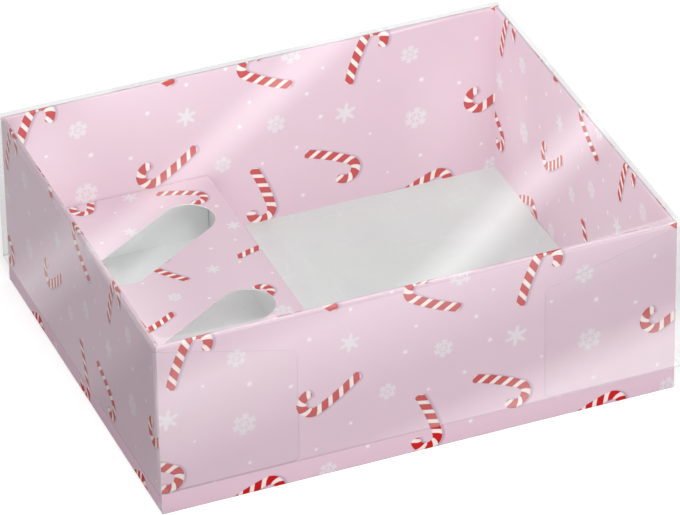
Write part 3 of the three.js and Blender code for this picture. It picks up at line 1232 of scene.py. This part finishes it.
# %% Lamps
WHITE = (1.0, 1.0, 1.0)
WARM = (1.0, 0.88, 0.93)
COOL = (0.62, 1.0, 0.81)
PALE_COOL = (0.73, 1.0, 0.85)
LAMPS = {
    "key": ((0, -2200, 800), (0, 0, 40), (1400, 1400), 16.7, WHITE),
    "side": ((-2200, -300, 800), (0, 0, 40), (1400, 1400), 13.75, WHITE),
    "far_right": ((800, 600, 180), (0, 0, 60), (500, 500), 6.0, WHITE),
    "over_left": ((-100, -250, 450), (330, 150, 50), (160, 160), 1.87, WHITE),
    "over_right": ((150, -250, 450), (-60, 150, 50), (160, 160), 0.38, COOL),
    "rim_left": ((-105, 25, 130), (0, 25, 177), (160, 60), 0.157, PALE_COOL),
    "inner_left": ((-107, 0, 55), (0, 0, 50), (160, 40), 0.0387, COOL),
    "low_front": ((45, -86, 16), (45, 0, 10), (120, 28), 0.0131, COOL),
    "low_left": ((-20, 0, 16), (0, 0, 14), (160, 26), 0.0123, WHITE),
    "back_corner": ((84, 64, 34), (110, 90, 30), (30, 45), 0.0018, COOL),
    "under_deck": ((-65, 0, 27), (-65, 0, 0), (80, 160), 0.0268, WARM),
    "under_corner": ((-52, 54, 15), (-22, 87, 15), (50, 24), 0.0013, WARM),
}


for name, (place, aim, size, power, colour) in LAMPS.items():
    place, aim = Vector(place) * MM, Vector(aim) * MM
    data = bpy.data.lights.new(name, "AREA")
    data.shape = "RECTANGLE"
    data.size, data.size_y = size[0] * MM, size[1] * MM
    data.energy = power
    data.color = colour
    item = bpy.data.objects.new(name, data)
    item.location = place
    item.rotation_euler = (aim - place).to_track_quat("-Z", "Y").to_euler()
    item.visible_camera = False
    item.visible_glossy = False
    bpy.context.collection.objects.link(item)
print("lamps", list(LAMPS))

# %% [markdown]
# ## Cards for the film
#
# Film is seen by what it mirrors. Three glowing cards, which light nothing and only show in mirrors, give the
# slanting bands on the lid's top, its front and its left side. A card's brightness changes along one way, by
# a ramp through (place in millimetres on the film, brightness), and its border fades out. The top mirrors a
# card that hangs behind the box, and the sides mirror cards that lie on the floor. A card's spread is its
# size over that of the band that it makes on the film.

# %% Cards
CARD_HEIGHT = 330 * MM
CARD_LIFT = 0.3 * MM
CARD_FADE = 0.06
mirror_eye = Vector((camera.location.x, camera.location.y, 2 * LID_TOP - camera.location.z))
TOP_SPREAD = 1 + CARD_HEIGHT / (LID_TOP - mirror_eye.z)
TOP_SPOT = mirror_eye + (Vector((0, 0, LID_TOP)) - mirror_eye) * TOP_SPREAD
CARDS = {
    "top_card": {
        "spot": TOP_SPOT, "spread": TOP_SPREAD, "turn": -52.7, "length": 420, "sideways": 0,
        "ramp": [(-165, 0.63), (-59.7, 0.63), (-50.7, 1.58), (-46.5, 1.58), (-35.4, 0.53), (62, 0.53),
                 (75, 1.85), (88.5, 0.32), (165, 0.32)],
    },
    "front_card": {
        "spot": (0, -LID_Y, CARD_LIFT), "spread": 1.215, "turn": -105.5, "length": 330, "sideways": 41,
        "ramp": [(-30, 1.8), (0, 1.8), (18, 0.55), (38, 0.55), (78, 1.4), (92, 0.8), (125, 0.8)],
    },
    "left_card": {
        "spot": (-LID_X, 0, CARD_LIFT), "spread": 0.771, "turn": 51.8, "length": 260, "sideways": 56,
        "ramp": [(-115, 0.33), (-15, 0.33), (4, 0.55), (50, 0.55), (79, 1.17), (100, 0.69), (200, 0.69)],
    },
}


def card_material(name, ramp):
    material, tree, surface = empty_material(name)
    material.cycles.emission_sampling = "NONE"
    first, last = ramp[0][0], ramp[-1][0]
    peak = max(level for _, level in ramp)
    along, across, _ = parts_of(tree, tree.nodes.new("ShaderNodeUVMap").outputs["UV"])
    node = new_node(tree, "ValToRGB", {"Fac": along})
    stops = node.color_ramp.elements
    while len(stops) < len(ramp):
        stops.new(1.0)
    for stop, (at, level) in zip(stops, ramp):
        stop.position = (at - first) / (last - first)
        stop.color = (level / peak, level / peak, level / peak, 1)
    glow = shader(tree, "Emission", Strength=times(tree, node.outputs["Color"], peak))
    border = number(tree, "MINIMUM", *[number(tree, "PINGPONG", way, 0.5) for way in (along, across)])
    shown = soft_step(tree, border, 0.0, CARD_FADE)
    plug(tree, surface, mixed(tree, shown, shader(tree, "BsdfTransparent"), glow))
    return material


def card(name, spot, spread, turn, length, sideways, ramp):
    start, end = ramp[0][0] * spread * MM, ramp[-1][0] * spread * MM
    left, right = (sideways - length / 2) * MM, (sideways + length / 2) * MM
    corners = [(start, left, 0), (end, left, 0), (end, right, 0), (start, right, 0)]
    item = stage_sheet(name, corners, card_material(name, ramp))
    item.data.uv_layers.new(name="card")
    item.location = spot
    item.rotation_euler = (0, 0, radians(turn))
    item.visible_camera = False
    item.visible_diffuse = False
    item.visible_transmission = False
    item.visible_shadow = False


for name, shape in CARDS.items():
    card(name, **shape)
print("cards", list(CARDS))
